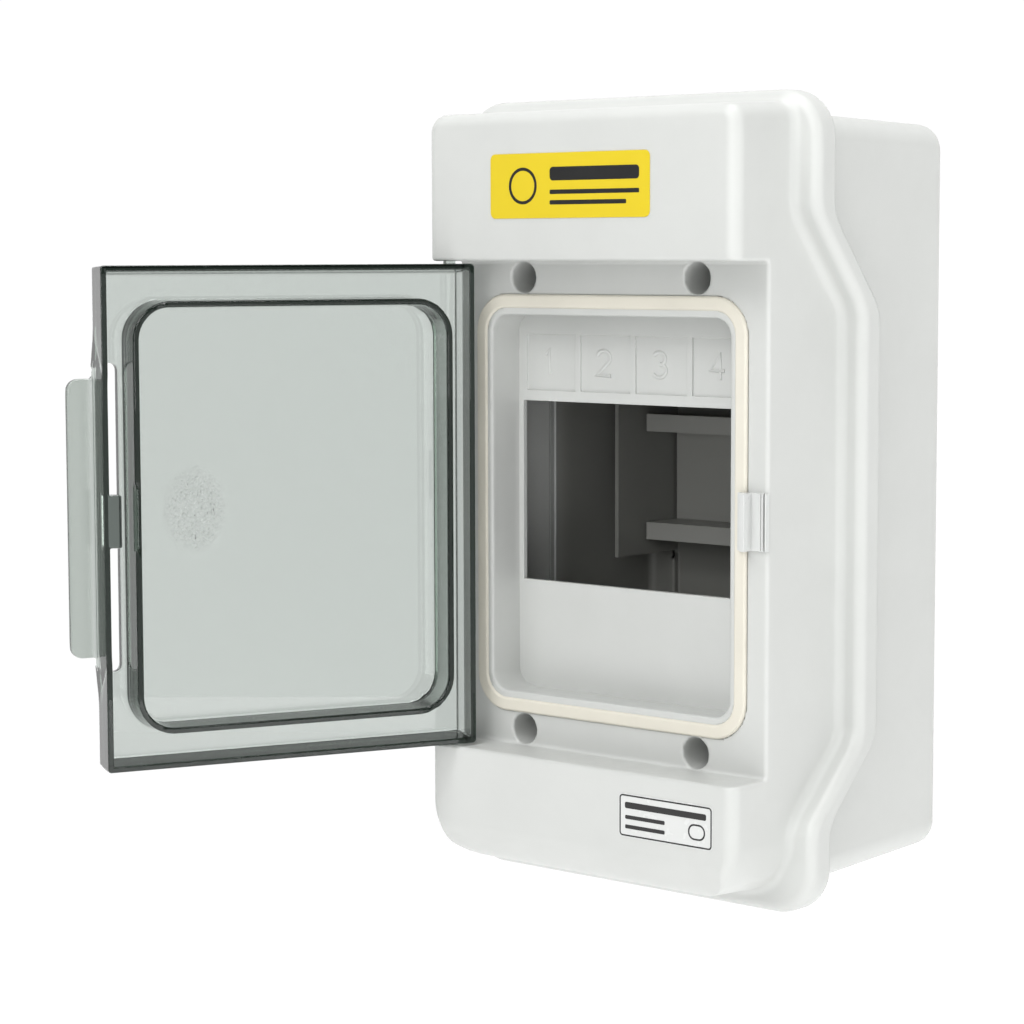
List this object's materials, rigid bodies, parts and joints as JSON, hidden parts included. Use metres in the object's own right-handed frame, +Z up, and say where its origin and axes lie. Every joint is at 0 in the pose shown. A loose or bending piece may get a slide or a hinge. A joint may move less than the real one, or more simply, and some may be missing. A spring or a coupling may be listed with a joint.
{
  "type": "dc combiner box",
  "caption": "Wall-mounted moulded plastic enclosure for rail devices, with a hinged smoke-clear door, device window, rail and terminal bars.",
  "frame": {"origin": "centre of the flat back face that goes against the wall", "axes": "+Z up, the wall is the plane y = 0, the front with the door faces -Y, +X to the right seen from the front"},
  "size_m": [0.1469, 0.1825, 0.2034],
  "materials": {
    "shell": "fine moulded satin",
    "smoke_clear": "smoke transparent plastic, glossy",
    "gasket": "matt cream foam",
    "foam": "matt black sponge cord",
    "catch": "white moulded plastic",
    "rail": "satin moulded plastic",
    "screw_steel": "zinc-plated",
    "brass": "plain",
    "holder": "satin black",
    "label_yellow": "smooth adhesive label",
    "label_clear": "smooth adhesive label"
  },
  "bodies": {
    "enclosure": {"back_box": "shell", "front_cover": "shell", "cover_seal": "foam", "door_gasket": "gasket", "latch_catch": "catch", "din_rail": "rail", "rail_screws": "screw_steel", "partition_left": "shell", "partition_right": "shell", "partition_screws": "screw_steel", "cover_screws": "screw_steel", "cover_screw_washers": "foam", "cover_screw_inserts": "brass", "earth_bar_holder": "holder", "earth_bar": "brass", "earth_bar_screws": "screw_steel", "negative_bar_holder": "holder", "negative_bar": "brass", "negative_bar_screws": "screw_steel", "bar_holder_screws": "screw_steel", "yellow_label": "label_yellow", "grey_label": "label_clear"},
    "door_panel": {"door": "smoke_clear"}
  },
  "joints": [
    {"name": "door_hinge", "type": "hinge", "parent": "enclosure", "child": "door_panel", "pos_m": [-0.0454, -0.0893, -0.003], "axis": [0, 0, -1], "range_deg": [-114, 66]}
  ]
}
